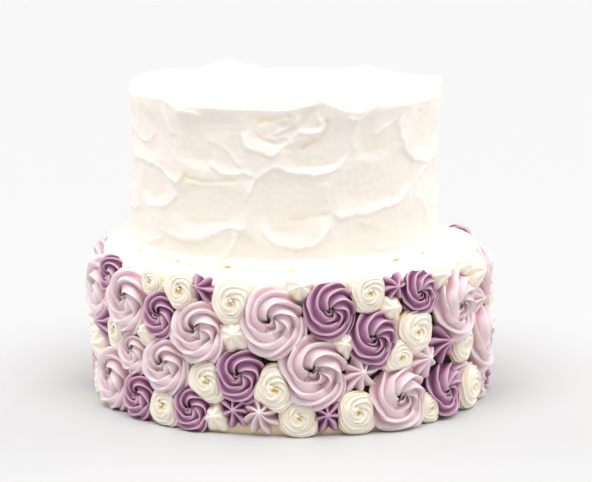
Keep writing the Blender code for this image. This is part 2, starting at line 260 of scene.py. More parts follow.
# Where the knife left the icing: how far an edge stands out in mm, how far its slope runs back on
# its left side, and its way in degrees and mm above the tier's foot. A crease stands in.
Edge = namedtuple("Edge", "lip slope way")
HALF_EDGES = [
    Edge(2.0, 7, [(16.5, 31), (19.5, 29), (24, 27.5), (30, 28), (36.5, 29.5), (42.5, 32), (47.5, 35.5),
                  (53.5, 40), (58, 43.5), (62, 46.5), (71, 49)]),
    Edge(1.9, 6, [(-7.5, 27.5), (-6.5, 20.5), (-3, 15), (1, 12.5), (5, 11.5), (10, 12.5), (13, 16),
                  (15.5, 21.5), (16, 29)]),
    Edge(1.8, 5, [(-14, 33), (-13.5, 38), (-12, 43), (-11, 47.5), (-7, 52), (-2, 54.5), (3, 51.5),
                  (7.5, 50.5), (13, 51), (18.5, 53.5), (22, 57.5), (25, 59.5)]),
    Edge(1.7, 5, [(-29, 54.5), (-26, 52), (-22.5, 50), (-17.5, 50.5), (-14.5, 52), (-11, 48)]),
    Edge(1.8, 4, [(-15.5, 73), (-14.5, 69), (-12, 64.5), (-7, 61.5), (-5, 60), (-1.5, 64.5), (2, 67),
                  (7, 68.5)]),
    Edge(1.1, 2, [(-4, 72), (0.5, 74.5), (3, 77), (5, 81)]),
    Edge(0.9, 2, [(-7.5, 71), (-4, 69), (0, 70.5), (3, 69), (5.5, 73.5)]),
    Edge(1.6, 4, [(5, 74.5), (6.5, 73), (10, 72), (13, 73), (14, 76), (12.5, 80), (11, 83.5)]),
    Edge(1.1, 3, [(22, 79), (24.5, 77), (27.5, 78), (29.5, 81), (33.5, 83.5)]),
    Edge(0.9, 4, [(26.5, 77.5), (26, 71), (25.5, 64.5), (26.5, 58.5)]),
    Edge(1.0, 2, [(33, 69.5), (37, 71.5), (41, 75), (44.5, 77)]),
    Edge(1.8, 5, [(48.5, 78.5), (45.5, 73), (47, 66), (49.5, 59.5), (54, 54), (60, 50), (67.5, 51),
                  (80.5, 53)]),
    Edge(1.7, 6, [(-86, 51), (-72, 51), (-59.5, 51.5), (-51.5, 49.5), (-46, 46.5), (-42, 44),
                  (-39.5, 48)]),
    Edge(1.6, 4, [(-62.5, 33.5), (-58.5, 28.5), (-52, 27.5), (-47, 28.5), (-43.5, 33), (-42, 38.5)]),
    Edge(1.8, 7, [(-47, 16), (-45, 14.5), (-38.5, 14.5), (-31.5, 15), (-26, 17), (-22.5, 19.5),
                  (-19.5, 21.5), (-16, 21), (-12, 22)]),
    Edge(1.1, 3, [(-16.5, 19.5), (-18.5, 14.5), (-20.5, 9), (-22, 4)]),
    Edge(0.7, 5, [(27.5, 24.5), (32.5, 21.5), (39.5, 18)]),
    Edge(1.2, 4, [(71, 6), (68, 15), (66, 22.5), (60.5, 29.5), (54.5, 34)]),
    Edge(1.0, 3, [(-43.5, 67), (-45.5, 73), (-47, 79.5), (-49, 84)]),
    Edge(1.2, 2, [(-41.5, 81.5), (-38, 83), (-33.5, 81.5), (-29.5, 79)]),
    Edge(0.7, 4, [(-29, 67), (-24.5, 64.5), (-20.5, 61.5), (-17, 57), (-14, 53)]),
    Edge(0.8, 3, [(16, 30), (15.5, 38), (15.5, 46)]),
    Edge(1.5, 6, [(72, 27), (80, 23), (92, 25), (101, 33)]),
    Edge(1.3, 5, [(80, 66), (89, 61), (99, 63), (104, 70)]),
    Edge(1.4, 6, [(-91, 27), (-80, 22), (-69, 24)]),
    Edge(1.3, 5, [(-84, 9), (-72, 6), (-58, 8), (-50, 11)]),
    Edge(1.3, 5, [(-78, 70), (-70, 63), (-61, 62), (-54, 68)]),
    Edge(1.2, 5, [(34, 9), (44, 7), (56, 9), (62, 14)]),
    Edge(-0.9, 2, [(-39, 47.5), (-35.5, 45.5), (-29.5, 44.5), (-22.5, 45.5), (-17, 47)]),
    Edge(-0.8, 2, [(-10, 76.5), (-7, 79), (-3, 80.5), (1.5, 82)]),
    Edge(-1.2, 2, [(15, 79), (15, 73.5), (13, 69.5), (9.5, 66.5), (5.5, 63)]),
    Edge(-0.8, 2, [(1.5, 26), (6.5, 25), (11.5, 27), (15, 30)]),
]

# The uneven top edge of the upper tier, highest at the back: degrees, and mm above the tier's foot
RIM_MARKS = [
    (-180, 85.5), (-172, 85), (-165, 88), (-157, 91), (-150, 89.5), (-143, 87), (-131, 88.5), (-118, 89),
    (-102, 88.5), (-90, 86.5), (-80, 84), (-62, 86), (-50, 87), (-42, 83.5), (-32, 85), (0, 85), (8, 87),
    (13, 89), (17, 86.5), (21, 84), (27, 82.5), (32, 85), (45, 84), (76, 84.5), (88, 89), (98, 90),
    (112, 87.5), (128, 86.5), (138, 87), (146, 89), (153, 87), (161, 85.5), (173, 86), (180, 85.5),
]

# Small gaps where the tiers meet, in degrees, how wide they are in mm and how open, up to 1; painted
# shade darkens each gap
Opening = namedtuple("Opening", "degrees width open_share")
HALF_GAPS = [
    Opening(-66, 3, 0.7),
    Opening(-46, 9, 0.35),
    Opening(-41, 3, 0.9),
    Opening(-35.5, 5, 0.4),
    Opening(-20.2, 3.5, 1),
    Opening(-9.5, 13, 0.3),
    Opening(2.6, 4.5, 1),
    Opening(21, 7, 0.35),
    Opening(44, 5, 1),
    Opening(61, 4, 0.8),
    Opening(78, 3, 0.7),
]

# Crumbs that tint the upper tier's side: degrees, mm above its foot, width in mm and strength
Crumb = namedtuple("Crumb", "degrees height width strength")
HALF_CRUMBS = [
    Crumb(-52.6, 69, 2.6, 0.4),
    Crumb(-38.6, 46.7, 3.4, 0.5),
    Crumb(2.1, 81.5, 2.6, 0.4),
    Crumb(14.6, 78.5, 3, 0.45),
    Crumb(57.8, 79, 2.4, 0.5),
    Crumb(64.4, 46, 4, 0.35),
]

# Colours of a buttercream on its crests, pale with painted highlight, its body, its valleys, darkened
# with painted shade, and its hollows, a deeper painted shade that on the upper tier also tints its
# crumbs, how rough it is, and how much light passes through it
Look = namedtuple("Look", "crest body valley hollow roughness glow")
LOOKS = {
    "icing": Look(
        (0.97, 0.95, 0.91, 1), (0.88, 0.82, 0.745, 1), (0.88, 0.79, 0.64, 1), (0.78, 0.55, 0.18, 1),
        0.42, 0.12,
    ),
    # The side between the pieces: painted shade, near black in its hollows
    "icing_shaded_between": Look(
        (0.95, 0.92, 0.86, 1), (0.94, 0.89, 0.80, 1), (0.92, 0.77, 0.52, 1), (0.035, 0.015, 0.010, 1),
        0.75, 0.0,
    ),
    "cream_buttercream": Look(
        (0.95, 0.90, 0.81, 1), (0.945, 0.865, 0.72, 1), (0.93, 0.77, 0.50, 1), (0.86, 0.61, 0.21, 1),
        0.42, 0.1,
    ),
    "lilac_buttercream": Look(
        (0.915, 0.81, 0.82, 1), (0.81, 0.635, 0.68, 1), (0.62, 0.36, 0.41, 1), (0.24, 0.085, 0.10, 1),
        0.45, 0.06,
    ),
    "plum_buttercream": Look(
        (0.78, 0.55, 0.645, 1), (0.36, 0.150, 0.28, 1), (0.145, 0.040, 0.10, 1), (0.03, 0.008, 0.022, 1),
        0.45, 0.03,
    ),
}
CLOUD_SCALE = 70.0
GRAIN_SCALE = 900.0
PORE_SCALE = 2600.0
BUMP_DEPTH = 0.00012
GLOW_COLOUR = (1.0, 0.75, 0.65)
GLOW_DEPTH = 0.0035
SHEEN = 0.28

# The studio
FLOOR_REACH = 6
FLOOR_COLOUR = (0.585, 0.585, 0.585, 1)
FLOOR_ROUGHNESS = 0.6
SKY_COLOUR = (0.985, 0.975, 0.98, 1)
SKY_STRENGTH = 0.54
# Wide, soft lights from far away: degrees round to the left from straight ahead, degrees up, how
# widely they spread in degrees, and how strong they are
Lamp = namedtuple("Lamp", "name degrees_round degrees_up spread strength")
LAMPS = [
    Lamp("left_window", 48, 63, 34, 1.50),
    Lamp("right_window", -44, 63, 34, 1.38),
    Lamp("left_panel", 120, 28, 60, 0.95),
    Lamp("right_panel", -118, 28, 60, 1.25),
]


# Sums on arrays

def smooth_step(low, high, value):
    share = np.clip((value - low) / (high - low), 0, 1)
    return share * share * (3 - 2 * share)


def turned(degrees):
    """The angle brought to between -180 and 180 degrees, in radians."""
    return np.radians((degrees + 180) % 360 - 180)


def half_turned(plan):
    return plan + [item._replace(degrees=item.degrees + 180) for item in plan]


def unevenness(points, size, seed):
    """Soft random swells over points in space, about size apart, mostly between -1 and 1."""
    draw = random.Random(seed)
    total = np.zeros(points.shape[:-1])
    for _ in range(SWELLS):
        direction = np.array([draw.gauss(0, 1) for _ in range(3)])
        direction *= 2 * math.pi / size * draw.uniform(0.6, 1.5) / np.linalg.norm(direction)
        total += np.sin(points @ direction + draw.uniform(0, 2 * math.pi))
    return total / math.sqrt(SWELLS)


def full_turn(columns):
    """One row of angles, all the way round."""
    return np.arange(columns)[None, :] / columns * 2 * math.pi


def on_cylinder(angle, radius, height):
    shape = np.broadcast(angle, radius, height).shape
    parts = (radius * np.sin(angle), -radius * np.cos(angle), height)
    return np.stack([np.broadcast_to(part, shape) for part in parts], axis=-1)


# Meshes

def grid_faces(rows, columns):
    """Quads over a grid of points whose rows close on themselves."""
    faces = []
    for row in range(rows - 1):
        near = row * columns
        far = near + columns
        for column in range(columns):
            beside = (column + 1) % columns
            faces.append((near + column, near + beside, far + beside, far + column))
    return faces


def cap_faces(first, columns, tip):
    return [(first + i, first + (i + 1) % columns, tip) for i in range(columns)]


def closed_faces(rows, columns):
    """Faces over a grid of points, closed at its ends by the two points that follow it."""
    first_end = rows * columns
    faces = grid_faces(rows, columns)
    faces += [face[::-1] for face in cap_faces(0, columns, first_end)]
    faces += cap_faces(first_end - columns, columns, first_end + 1)
    return faces


def icing_object(name, points, faces, values, finish, material):
    """A smooth mesh with values painted on its points, which rides on the cake."""
    mesh = bpy.data.meshes.new(name)
    mesh.from_pydata(points.tolist(), [], faces)
    mesh.shade_smooth()
    for key, numbers in values.items():
        layer = mesh.attributes.new(key, "FLOAT", "POINT")
        layer.data.foreach_set("value", np.asarray(numbers, dtype=np.float32))
    mesh.materials.append(material)
    piece = bpy.data.objects.new(name, mesh)
    bpy.context.scene.collection.objects.link(piece)
    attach(piece, "root")
    "buttercream_" + finish
    return piece


# Piping

def pressed_reach(piece, plan, direction):
    """How far a piece spreads in each direction, pressed by its neighbours and the foot."""
    sharpness = SOFTNESS[piece.finish].squareness
    radius = spread_radius(piece)
    across, up = np.cos(direction), np.sin(direction)
    pressure = np.full(direction.shape, radius ** -sharpness)
    for other in plan:
        if other is piece:
            continue
        aside = FLAT_RADIUS * turned(other.degrees - piece.degrees)
        above = (other.height - piece.height) * MM
        distance = math.hypot(aside, above)
        if distance > radius + spread_radius(other):
            continue
        lead = (piece.width**2 - other.width**2) * (MM / 2) ** 2
        wall = (distance**2 + lead) / (2 * distance) + PRESS_OVERLAP
        if piece.form == "star":
            wall += STAR_TUCK
        facing = np.maximum((across * aside + up * above) / distance, 0)
        pressure += (facing / wall) ** sharpness
    pressure += (np.maximum(-up, 0) / (piece.height * MM)) ** sharpness
    pressure += (np.maximum(up, 0) / (PIPING_TOP - piece.height * MM)) ** sharpness
    return pressure ** (-1 / sharpness)


def spread_radius(piece):
    """A piece's radius where nothing presses it. Cream pieces and stars sag more than the rest."""
    spread = STAR_SPREAD if piece.form == "star" else SOFTNESS[piece.finish].spread
    return piece.width / 2 * MM * spread


def placed(points, piece, plan):
    """Piped points brought from their own plane, x to the right, y up and z out of the icing, to
    their place on the tier, and pressed against their neighbours."""
    radius = spread_radius(piece)
    x, y, z = points[..., 0], points[..., 1], points[..., 2]
    reach = pressed_reach(piece, plan, np.arctan2(y, x))
    spread = smooth_step(SOFTNESS[piece.finish].firm, 1.0, np.hypot(x, y) / radius)
    press = 1 + (reach / radius - 1) * spread
    angle = math.radians(piece.degrees) + x * press / FLAT_RADIUS
    height = np.maximum(piece.height * MM + y * press, PIPING_FOOT)
    return on_cylinder(angle, LOWER_RADIUS + z, height)


Rope = namedtuple("Rope", "path half_width middle tail pinch shear")


def rope_way(tip, radius, top, turn, share):
    """Along the rope, how far it lies from the middle, half its width, the height of its middle,
    how much of it is tail, how far it is pinched off and how far it leans forward."""
    travelled = np.degrees(turn) * share
    left = np.degrees(turn) * (1 - share)
    opened = smooth_step(0, tip.unwind, travelled)
    tail = smooth_step(160, 0, left)
    pinch = np.clip(1 - left / 120, 0, 1) ** 2
    half_eye = tip.eye / 2
    path = radius * (PATH_START + (PATH_ROUND + half_eye) * opened + (PATH_TAIL - half_eye) * tail)
    widening = smooth_step(-30, 0.8 * tip.unwind, travelled)
    half_width = radius * (tip.core + (ROPE_HALF_WIDTH - tip.core - half_eye) * widening)
    half_width = half_width * (1 - TAIL_NARROWING * pinch)
    sunk = tip.sunk * radius * (1 - smooth_step(0.1 * tip.unwind, tip.unwind + 110, travelled))
    middle = top * (1 - TAIL_FALL * pinch) - half_width * tip.lift - sunk
    middle = middle + 0.04 * radius * smooth_step(170, 60, left)
    shear = 0.50 - 0.32 * smooth_step(0, tip.unwind + 80, travelled)
    return Rope(path, half_width, middle, tail, pinch, shear)


def valley_depth(between):
    """How deep the rope lies between one ridge and the next: it falls away to the groove, and
    rises steeply to the next ridge."""
    outward = np.clip(between / GROOVE_PLACE, 0, 1)
    inward = np.clip((1 - between) / (1 - GROOVE_PLACE), 0, 1)
    fall = 0.5 * (1 - np.exp(-((outward / 0.2) ** 1.5))) + 0.5 * outward**1.4
    return np.where(between > GROOVE_PLACE, inward**0.8, fall)


def eye_shade(piece, from_eye, low):
    """How strongly a rosette's eye is tinted with painted shade, from 0 to 1."""
    if piece.finish == "cream":
        return 1 - smooth_step(*CREAM_EYE_SHADE, from_eye)
    return low * (1 - smooth_step(*DARK_EYE_SHADE, from_eye))


def rosette_parts(piece, plan, draw):
    """A rope with the tip's ridges, laid anticlockwise round an eye. The tip doesn't turn as it
    goes round, or only part of the way in cream, so its ridges cross the rope from its outer side
    to the eye. The rope ends in a tail on the right, where its ridges run together."""
    tip = TIPS[piece.finish]
    radius = spread_radius(piece)
    slope, least = RISE["rosette"]
    top = (slope * piece.width * MM + least) * draw.uniform(0.95, 1.08)
    small = piece.width < SEPARATE_WIDTH
    steps = int(30 + 1.25 * piece.width)
    spots = np.array(RIDGE_SPOTS[:2] + RIDGE_SPOTS[3:] if small else RIDGE_SPOTS)
    around = tip.ridges * len(spots)

    share = np.linspace(0, 1, steps)[:, None]
    start = math.radians(tip.start + draw.uniform(-14, 14))
    turn = math.radians(tip.turn + draw.uniform(-8, 8))
    spot = start + turn * share
    rope = rope_way(tip, radius, top, turn, share)
    step = np.gradient(rope.path[:, 0])[:, None] / (turn / (steps - 1))
    heading = spot + np.arctan2(rope.path, step)

    place = (np.arange(tip.ridges)[:, None] + spots).reshape(1, -1)
    bearing = place / tip.ridges * 2 * math.pi + draw.uniform(0, 1) + tip.follow * heading
    valley = valley_depth(place % 1)
    facing_up = smooth_step(0.35, -0.55, np.cos(bearing - heading))
    swell = 1 + 0.04 * np.sin(3 * spot + draw.uniform(0, 6))
    depth = tip.groove * (0.30 + 0.70 * facing_up) * (1 - 0.15 * rope.tail) * (1 - 0.5 * rope.pinch)
    rim = swell * (1 - depth * valley)
    across = rope.half_width * rim * np.sin(bearing - heading)
    along = rope.half_width * rim * np.cos(bearing - heading)

    x = rope.path * np.cos(spot) - across * np.sin(heading) + rope.shear * along * np.cos(heading)
    y = rope.path * np.sin(spot) + across * np.cos(heading) + rope.shear * along * np.sin(heading)
    z = rope.middle - tip.lift * along
    x = x + draw.uniform(-0.10, 0.10) * z
    points = np.stack([x, y, z], axis=-1)
    points += (unevenness(points, 0.009, draw.random()) * 0.00022)[..., None]
    ends = np.stack([points[0].mean(axis=0), points[-1].mean(axis=0)])

    # Painted highlight on the crests and painted shade in the grooves, painted shade deepening lower on
    # the rosette, and painted shade in the eye
    groove = np.broadcast_to(valley, x.shape) * (1 - 0.2 * rope.tail)
    low = 1 - smooth_step(0.25, 0.85, z / top)
    eye = eye_shade(piece, np.hypot(x, y) / radius, low)
    flat = np.concatenate([points.reshape(-1, 3), ends])
    values = {
        "groove": np.append(groove.ravel(), [0.5, 0]),
        "low": np.append(low.ravel(), [1, 0.3]),
        "eye": np.append(eye.ravel(), [1, 0]),
    }
    faces = closed_faces(steps, around)
    if piece.finish == "cream":
        flat, faces, values = joined([(flat, faces, values), eye_dab(radius, top)])
    return placed(flat, piece, plan), faces, values


def eye_dab(radius, top):
    """The low dab that closes a cream rosette's eye."""
    shares = np.array(DAB_RINGS)[:, None]
    height = top * (DAB_EDGE + DAB_RISE * (1 - shares**2))
    rings = on_cylinder(full_turn(DAB_COLUMNS), DAB_WIDTH * radius * shares, height)
    ends = [[0, 0, DAB_FOOT * top], [0, 0, (DAB_EDGE + DAB_RISE) * top]]
    points = np.concatenate([rings.reshape(-1, 3), ends])
    # painted shade in the cream eye, on the dab that closes it
    eye = 1 - smooth_step(*CREAM_EYE_SHADE, np.hypot(points[:, 0], points[:, 1]) / radius)
    values = {"groove": np.full(len(points), 0.3), "low": np.zeros(len(points)), "eye": eye}
    return points, closed_faces(len(shares), DAB_COLUMNS), values


def star_parts(piece, plan, draw):
    """A star pressed out in one place: full petals that fall from a peak, with narrow clefts. Cream
    ones have softened into lobes."""
    kind = PETALS[piece.finish]
    petals = LEAST_PETALS + sum(piece.width > width for width in PETAL_WIDTHS)
    around = petals * PETAL_COLUMNS
    radius = spread_radius(piece)
    slope, least = RISE["star"]
    peak = (slope * piece.width * MM + least) * draw.uniform(0.95, 1.1)
    shares = np.array(STAR_RINGS)[:, None]
    spin = draw.uniform(0, 6)
    twist = math.radians(draw.uniform(-30, 5))
    column = np.arange(around)[None, :]
    bearing = spin + column / around * 2 * math.pi - twist * shares
    beside = np.abs(np.sin(column / PETAL_COLUMNS * math.pi))
    cleft = beside ** (kind.narrowness - kind.widening * shares)
    lengths = np.array([draw.uniform(0.88, 1.06) for _ in range(petals)])
    own_length = lengths[np.rint(column / PETAL_COLUMNS).astype(int) % petals]
    length = own_length * (1 - cleft) + 0.97 * cleft
    opened = smooth_step(0.0, 0.35, shares)
    out = radius * shares * (1 + (length - 1) * shares) * (1 - kind.notch * opened * cleft)
    lean = np.array([draw.uniform(-0.15, 0.15), draw.uniform(0.12, 0.36)])
    height = peak * (1 - np.array(kind.fall)[:, None]) - kind.sink * peak * cleft * opened
    x = out * np.cos(bearing) + lean[0] * height
    y = out * np.sin(bearing) + lean[1] * height
    points = np.stack([x, y, height], axis=-1)
    points += (unevenness(points, 0.007, draw.random()) * 0.0002)[..., None]

    flat = np.concatenate([points[1:].reshape(-1, 3), points[:1, 0], points[-1:].mean(axis=1)])
    # Painted highlight on the petals and painted shade in the clefts, darker near the foot
    groove = (0.20 + 0.80 * cleft * smooth_step(0.02, 0.3, shares))[1:]
    low = ((1 - smooth_step(0.05, 0.60, height / peak)) * cleft)[1:]
    values = {
        "groove": np.append(groove.ravel(), [0.5, 1]),
        "low": np.append(low.ravel(), [0, 1]),
        "eye": np.zeros(len(flat)),
    }
    return placed(flat, piece, plan), closed_faces(len(shares) - 1, around), values


def joined(parts):
    """Several pieces' points, faces and values as one."""
    points, faces, values = [], [], {"groove": [], "low": [], "eye": []}
    count = 0
    for part_points, part_faces, part_values in parts:
        points.append(part_points)
        faces += [tuple(index + count for index in face) for face in part_faces]
        for key in values:
            values[key].append(part_values[key])
        count += len(part_points)
    return np.concatenate(points), faces, {key: np.concatenate(v) for key, v in values.items()}


def pipe_everything(materials):
    plan = half_turned(HALF_PLAN)
    made = dict.fromkeys(materials, 0)
    kinds = {}
    for index, piece in enumerate(plan):
        draw = random.Random(index * 7 + 3)
        if piece.form == "rosette" and piece.width >= SEPARATE_WIDTH:
            made[piece.finish] += 1
            node = f"{piece.finish}_rosette_{made[piece.finish]:02d}"
            points, faces, values = rosette_parts(piece, plan, draw)
            material = materials[piece.finish]
            rosette = icing_object("piped_" + node, points, faces, values, piece.finish, material)
            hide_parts(node)
            continue
        make = rosette_parts if piece.form == "rosette" else star_parts
        kinds.setdefault((piece.finish, piece.form), []).append(make(piece, plan, draw))
    for (finish, form), parts in kinds.items():
        points, faces, values = joined(parts)
        name = f"small_{finish}_{form}s"
        small = icing_object(name, points, faces, values, finish, materials[finish])
        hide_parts("lower_tier")


# Icing of the tiers

def rounded_way(way):
    """More points along a way, on a smooth curve through its own."""
    marks = np.array([way[0]] + way + [way[-1]], dtype=float)
    marks[:, 0] *= math.radians(1) * UPPER_RADIUS / MM
    curve = []
    for a, b, c, d in zip(marks, marks[1:], marks[2:], marks[3:]):
        for share in (0, 0.25, 0.5, 0.75):
            bend = -a + 3 * b - 3 * c + d
            curve.append(b + 0.5 * share * (c - a + share * (2 * a - 5 * b + 4 * c - d + share * bend)))
    return np.array(curve + [marks[-1]])


def beside_way(across, up, curve):
    """How far points lie from a curve, on which side, and how far along it, from 0 to 1."""
    nearest = np.full(across.shape, 1e9)
    side = np.ones(across.shape)
    along = np.zeros(across.shape)
    for index in range(len(curve) - 1):
        start, run = curve[index], curve[index + 1] - curve[index]
        length = run @ run + 1e-9
        share = np.clip(((across - start[0]) * run[0] + (up - start[1]) * run[1]) / length, 0, 1)
        off_x = across - start[0] - share * run[0]
        off_y = up - start[1] - share * run[1]
        distance = np.hypot(off_x, off_y)
        closer = distance < nearest
        nearest = np.where(closer, distance, nearest)
        side = np.where(closer, np.sign(run[0] * off_y - run[1] * off_x), side)
        along = np.where(closer, (index + share) / (len(curve) - 1), along)
    return nearest, side, along


def in_scoop(scoop, across, up):
    """Where points lie in a scoop: 0 in its middle and 1 at its rim, and how far up in it."""
    tilt = math.radians(scoop.tilt)
    a = (across * math.cos(tilt) + up * math.sin(tilt)) / scoop.half_width
    b = (up * math.cos(tilt) - across * math.sin(tilt)) / scoop.half_height
    rim = (np.abs(a) ** SCOOP_ROUNDNESS + np.abs(b) ** SCOOP_ROUNDNESS) ** (1 / SCOOP_ROUNDNESS)
    return rim, b


def edge_shape(edge, across, up, fading):
    """How much of an edge's lip stands at each point, and how near it is to the crest."""
    distance, side, along = beside_way(across, up, rounded_way(edge.way))
    ends = smooth_step(0, 0.14, along) * smooth_step(1, 0.86, along)
    ends = ends * fading
    steep = np.exp(-((distance / 1.3) ** 2))
    sloping = np.exp(-distance / edge.slope) * 0.7 + steep * 0.3
    lip = np.where(side > 0, sloping, steep) * ends
    crest = np.exp(-((distance / 1.4) ** 2)) * ends
    return lip, crest


def half_turned_edges():
    """The edges of the front half, and the same after a half turn."""
    behind = [edge._replace(way=[(d + 180, h) for d, h in edge.way]) for edge in HALF_EDGES]
    return HALF_EDGES + behind


def knife_relief(angle, height, place):
    """How far the upper tier's icing stands out, how near each point is to a raised edge, and how
    deep it lies in a crease."""
    level = 0.00045 * unevenness(place, 0.035, 10)
    sway = 0.8 * unevenness(place, 0.022, 11) + 0.25 * unevenness(place, 0.006, 16)
    rise = 0.8 * unevenness(place, 0.022, 12) + 0.25 * unevenness(place, 0.006, 17)
    girth = UPPER_RADIUS / MM
    degrees = np.degrees(angle)
    for scoop in half_turned(HALF_SCOOPS):
        across = girth * turned(degrees - scoop.degrees) + sway
        rim, upward = in_scoop(scoop, across, height / MM - scoop.height + rise)
        pressed = 1 - smooth_step(0.55, 1.02, rim)
        level += (-SCOOP_DEPTH * (1 - 0.4 * upward) - level) * pressed
    ridge = np.zeros(angle.shape)
    crease = np.zeros(angle.shape)
    up = height / MM + rise
    for number, edge in enumerate(half_turned_edges()):
        middle = sum(d for d, _ in edge.way) / len(edge.way)
        across = girth * (turned(degrees - middle) + math.radians(middle)) + sway
        near = np.abs(turned(degrees[0] - middle)) < math.radians(EDGE_REACH)
        fading = 0.82 + 0.22 * unevenness(place[:, near], 0.016, 50 + number)
        lip, crest = edge_shape(edge, across[:, near], up[:, near], fading)
        level[:, near] += EDGE_SHARE * edge.lip * MM * lip
        if edge.lip > 0:
            ridge[:, near] = np.maximum(ridge[:, near], crest * min(1, edge.lip / 1.5))
        else:
            crease[:, near] = np.maximum(crease[:, near], crest)
    level += 0.00004 * unevenness(place * np.array([1, 1, 5]), 0.012, 14)
    level += 0.00006 * unevenness(place, 0.005, 15)
    return np.clip(level, *RELIEF_LIMITS), ridge, crease


def rim_height(angle):
    """The height of the upper tier's top edge round the tier."""
    degrees = np.degrees(turned(np.degrees(angle)))
    height = np.zeros(angle.shape)
    for (left, low), (right, high) in zip(RIM_MARKS, RIM_MARKS[1:]):
        inside = (degrees >= left) & (degrees <= right)
        height = np.where(inside, low + (high - low) * smooth_step(left, right, degrees), height)
    return height * MM


def gap_marks(angle):
    """Where the tiers' joint shows a gap, from 0 to 1 round the cake."""
    mark = np.zeros(angle.shape)
    for gap in half_turned(HALF_GAPS):
        away = UPPER_RADIUS / MM * turned(np.degrees(angle) - gap.degrees) / (gap.width / 2)
        mark = np.maximum(mark, gap.open_share * np.exp(-(away**2)))
    return mark


def crumb_marks(angle, height):
    """Where crumbs tint the upper tier's side, from 0 to 1."""
    mark = np.zeros(height.shape)
    for crumb in half_turned(HALF_CRUMBS):
        across = UPPER_RADIUS / MM * turned(np.degrees(angle) - crumb.degrees)
        away = np.hypot(across, height / MM - crumb.height) / (crumb.width / 2)
        mark = np.maximum(mark, crumb.strength * np.exp(-(away**2)))
    return mark


def foot_spread(angle):
    """Where the soft foot spreads further, at the front and behind, from 0 to 1."""
    total = np.zeros(angle.shape)
    for place in (SPREAD_PLACE, SPREAD_PLACE + 180):
        away = turned(np.degrees(angle) - place) / math.radians(SPREAD_WIDTH)
        total = total + np.exp(-(away**2))
    return total


def upper_side(angle, edge):
    """The side of the upper tier, its radius at the rim, and what is painted on it."""
    share = np.linspace(0, 1, UPPER_ROWS)[:, None]
    height = share * edge
    place = on_cylinder(angle, UPPER_RADIUS, height)
    relief, ridge, crease = knife_relief(np.broadcast_to(angle, height.shape), height, place)
    relief = relief * smooth_step(0.0, 0.006, height)
    gap = gap_marks(angle) * smooth_step(0.0016, 0.0003, height)
    flare = RIM_FLARE * share**6 * (1 + 0.35 * unevenness(place, 0.02, 30))
    foot = np.clip(1 - height / FOOT_HEIGHT, 0, 1) ** 2
    waves = 0.0007 * unevenness(place, 0.02, 31)
    swell = foot * (FOOT_SWELL + SPREAD_REACH * foot_spread(angle) + waves) - GAP_DEPTH * gap
    radius = UPPER_RADIUS + relief + flare + swell
    side = on_cylinder(angle, radius, height - FOOT_DEPTH * smooth_step(0.0006, 0.0, height))
    # Painted highlight along the knife's raised edges, painted shade in its creases and deeper scoops,
    # and painted shade in the gaps where the tiers meet; the crumbs' tint is their own colour
    painted = {
        "groove": 0.8 - 0.8 * np.clip(ridge, 0, 1),
        "low": 0.9 * crease + 0.5 * smooth_step(-0.0002, -0.0024, relief),
        "eye": np.maximum(gap, crumb_marks(angle, height)),
    }
    return side, radius[-1], painted


def upper_top(angle, edge, rim_radius):
    """The top of the upper tier, from its rolled rim to its spread middle."""
    inner, lift = np.array(TOP_RINGS).T[..., None]
    side_end = UPPER_HEIGHT - RIM_ROUNDING
    level = side_end + (edge - side_end) * smooth_step(0.6, 1.0, inner) + lift
    flat = on_cylinder(angle, rim_radius * inner, level)
    fade = smooth_step(1.0, 0.93, inner)
    flat[..., 2] += fade * 0.0008 * unevenness(flat * np.array([1, 2.2, 1]), 0.05, 32)
    flat[..., 2] += fade * 0.0004 * unevenness(flat, 0.016, 33)
    return flat


def upper_tier(material):
    angle = full_turn(UPPER_COLUMNS)
    edge = rim_height(angle) - RIM_ROUNDING
    side, rim_radius, painted = upper_side(angle, edge)
    flat = upper_top(angle, edge, rim_radius)
    rings = np.concatenate([side, flat])
    ends = np.array([[0, 0, 0], [0, 0, UPPER_HEIGHT - TOP_MIDDLE_DROP]])
    points = np.concatenate([rings.reshape(-1, 3), ends])
    points += np.array([UPPER_SHIFT, 0, UPPER_FOOT])
    plain = {"groove": 0.4, "low": 0.0, "eye": 0.0}
    rest = flat[..., 0].size + len(ends)
    values = {key: np.append(painted[key], np.full(rest, plain[key])) for key in painted}
    faces = closed_faces(len(rings), UPPER_COLUMNS)
    tier = icing_object("upper_tier_icing", points, faces, values, "cream", material)
    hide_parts("upper_tier")


def lower_profile():
    """Radius and height of the lower tier, from the foot of its side to under the upper tier."""
    side_top = LOWER_HEIGHT - LOWER_ROUNDING
    side = [(LOWER_RADIUS, share * side_top) for share in np.linspace(0, 1, 24)]
    bend = np.radians(np.linspace(0, 90, 9))[1:]
    inset = LOWER_ROUNDING * (1 - np.cos(bend))
    drop = LOWER_ROUNDING * (1 - np.sin(bend))
    edge = [(LOWER_RADIUS - i, LOWER_HEIGHT - d) for i, d in zip(inset, drop)]
    ledge = [(radius, LOWER_HEIGHT) for radius in np.linspace(LEDGE_OUTER, LEDGE_INNER, 18)]
    return np.array(side + edge + ledge)


